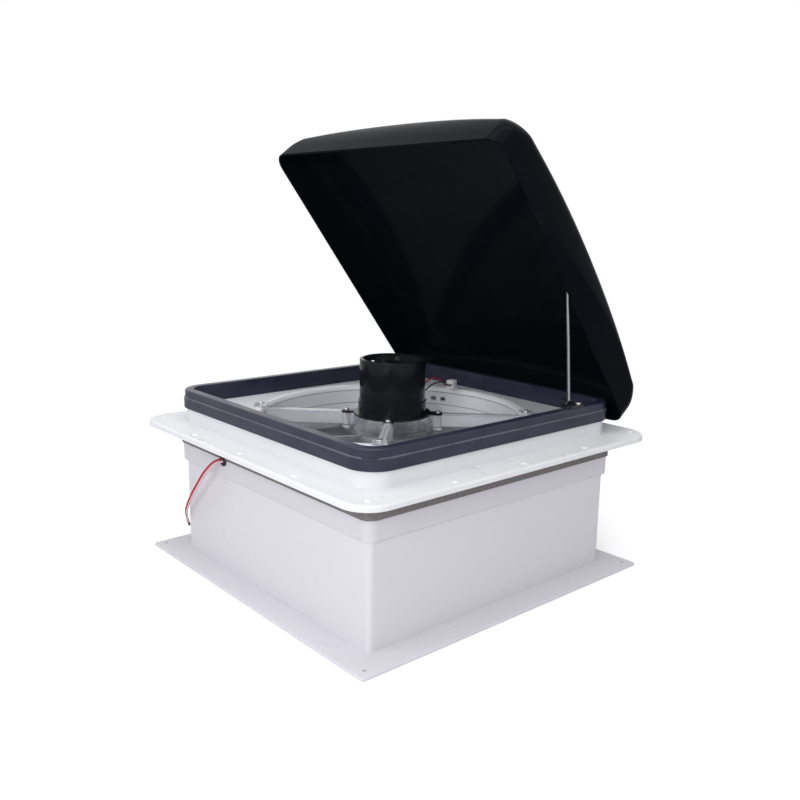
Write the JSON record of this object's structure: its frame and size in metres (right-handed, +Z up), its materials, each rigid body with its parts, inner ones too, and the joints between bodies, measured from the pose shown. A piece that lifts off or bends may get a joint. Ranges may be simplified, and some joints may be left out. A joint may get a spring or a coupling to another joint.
{
  "type": "roof vent exhaust fan",
  "caption": "Square roof vent for a caravan: white duct and roof flange, dark rim, clear fan shroud with a motor, and a domed black lid held open by a rod.",
  "frame": {"origin": "centre of the four ceiling screw holes, on the underside of the ceiling flange", "axes": "+Z up through the roof, +Y towards the lid's hinges, +X towards the stay rod"},
  "size_m": [0.4254, 0.4441, 0.4996],
  "materials": {
    "white_plastic": "moulded, low sheen",
    "deck_plastic": "moulded, semi gloss",
    "foam": "closed cell foam",
    "rim_plastic": "fine moulded texture",
    "black_plastic": "moulded",
    "clear_plastic": "clear, polished",
    "smoke_plastic": "clear grey, polished",
    "lid_gloss": "high gloss",
    "motor_black": "gloss paint",
    "steel": "bright zinc plate",
    "bearing_steel": "ground",
    "magnet": "sintered",
    "iron_core": "stacked sheets",
    "carbon": "pressed carbon",
    "copper": "turned",
    "wire_red": "wire insulation",
    "wire_white": "wire insulation",
    "wire_black": "wire insulation",
    "plug_white": "moulded",
    "black_rubber": "moulded"
  },
  "bodies": {
    "root": {"ceiling_trim": "white_plastic", "roof_base": "white_plastic", "foam_seal": "foam", "rim_frame": "rim_plastic", "fan_deck": "deck_plastic", "shroud_ring": "clear_plastic", "motor_spider": "clear_plastic", "spider_screws": "steel", "motor_screws": "steel", "motor_housing": "motor_black", "motor_can": "motor_black", "can_screws": "steel", "lower_bearing": "bearing_steel", "upper_bearing": "bearing_steel", "stator_magnets": "magnet", "motor_brushes": "carbon", "hinge_brackets": "rim_plastic", "hinge_pins": "steel", "stay_bracket": "black_plastic", "stay_screw": "steel", "wire_plug": "plug_white", "motor_lead_red": "wire_red", "motor_lead_black": "wire_black", "grommet": "black_rubber", "supply_lead_red": "wire_red", "supply_lead_white": "wire_white", "lead_tip_red": "wire_black", "lead_tip_white": "wire_black"},
    "lid": {"lid_shell": "lid_gloss", "hinge_leaves": "black_plastic", "guide_rail": "black_plastic"},
    "stay": {"stay_rod": "steel"},
    "rotor": {"armature": "iron_core", "commutator": "copper", "motor_shaft": "steel", "impeller": "smoke_plastic", "shaft_nut": "steel"}
  },
  "joints": [
    {"name": "lid_hinge", "type": "hinge", "parent": "root", "child": "lid", "pos_m": [0, 0.191, 0.168], "axis": [1, 0, 0], "range_deg": [0, 52.7]},
    {"name": "stay_rod_fold", "type": "hinge", "parent": "root", "child": "stay", "pos_m": [0.1725, 0.106, 0.2034], "axis": [1, 0, 0], "range_deg": [0, 81.6]},
    {"name": "fan_spin", "type": "hinge", "parent": "root", "child": "rotor", "pos_m": [0, 0, 0.15], "axis": [0, 0, 1], "continuous": true}
  ],
  "couplings": [
    {"joint": "stay_rod_fold", "follows": "lid_hinge", "ratio": 1.5484}
  ]
}
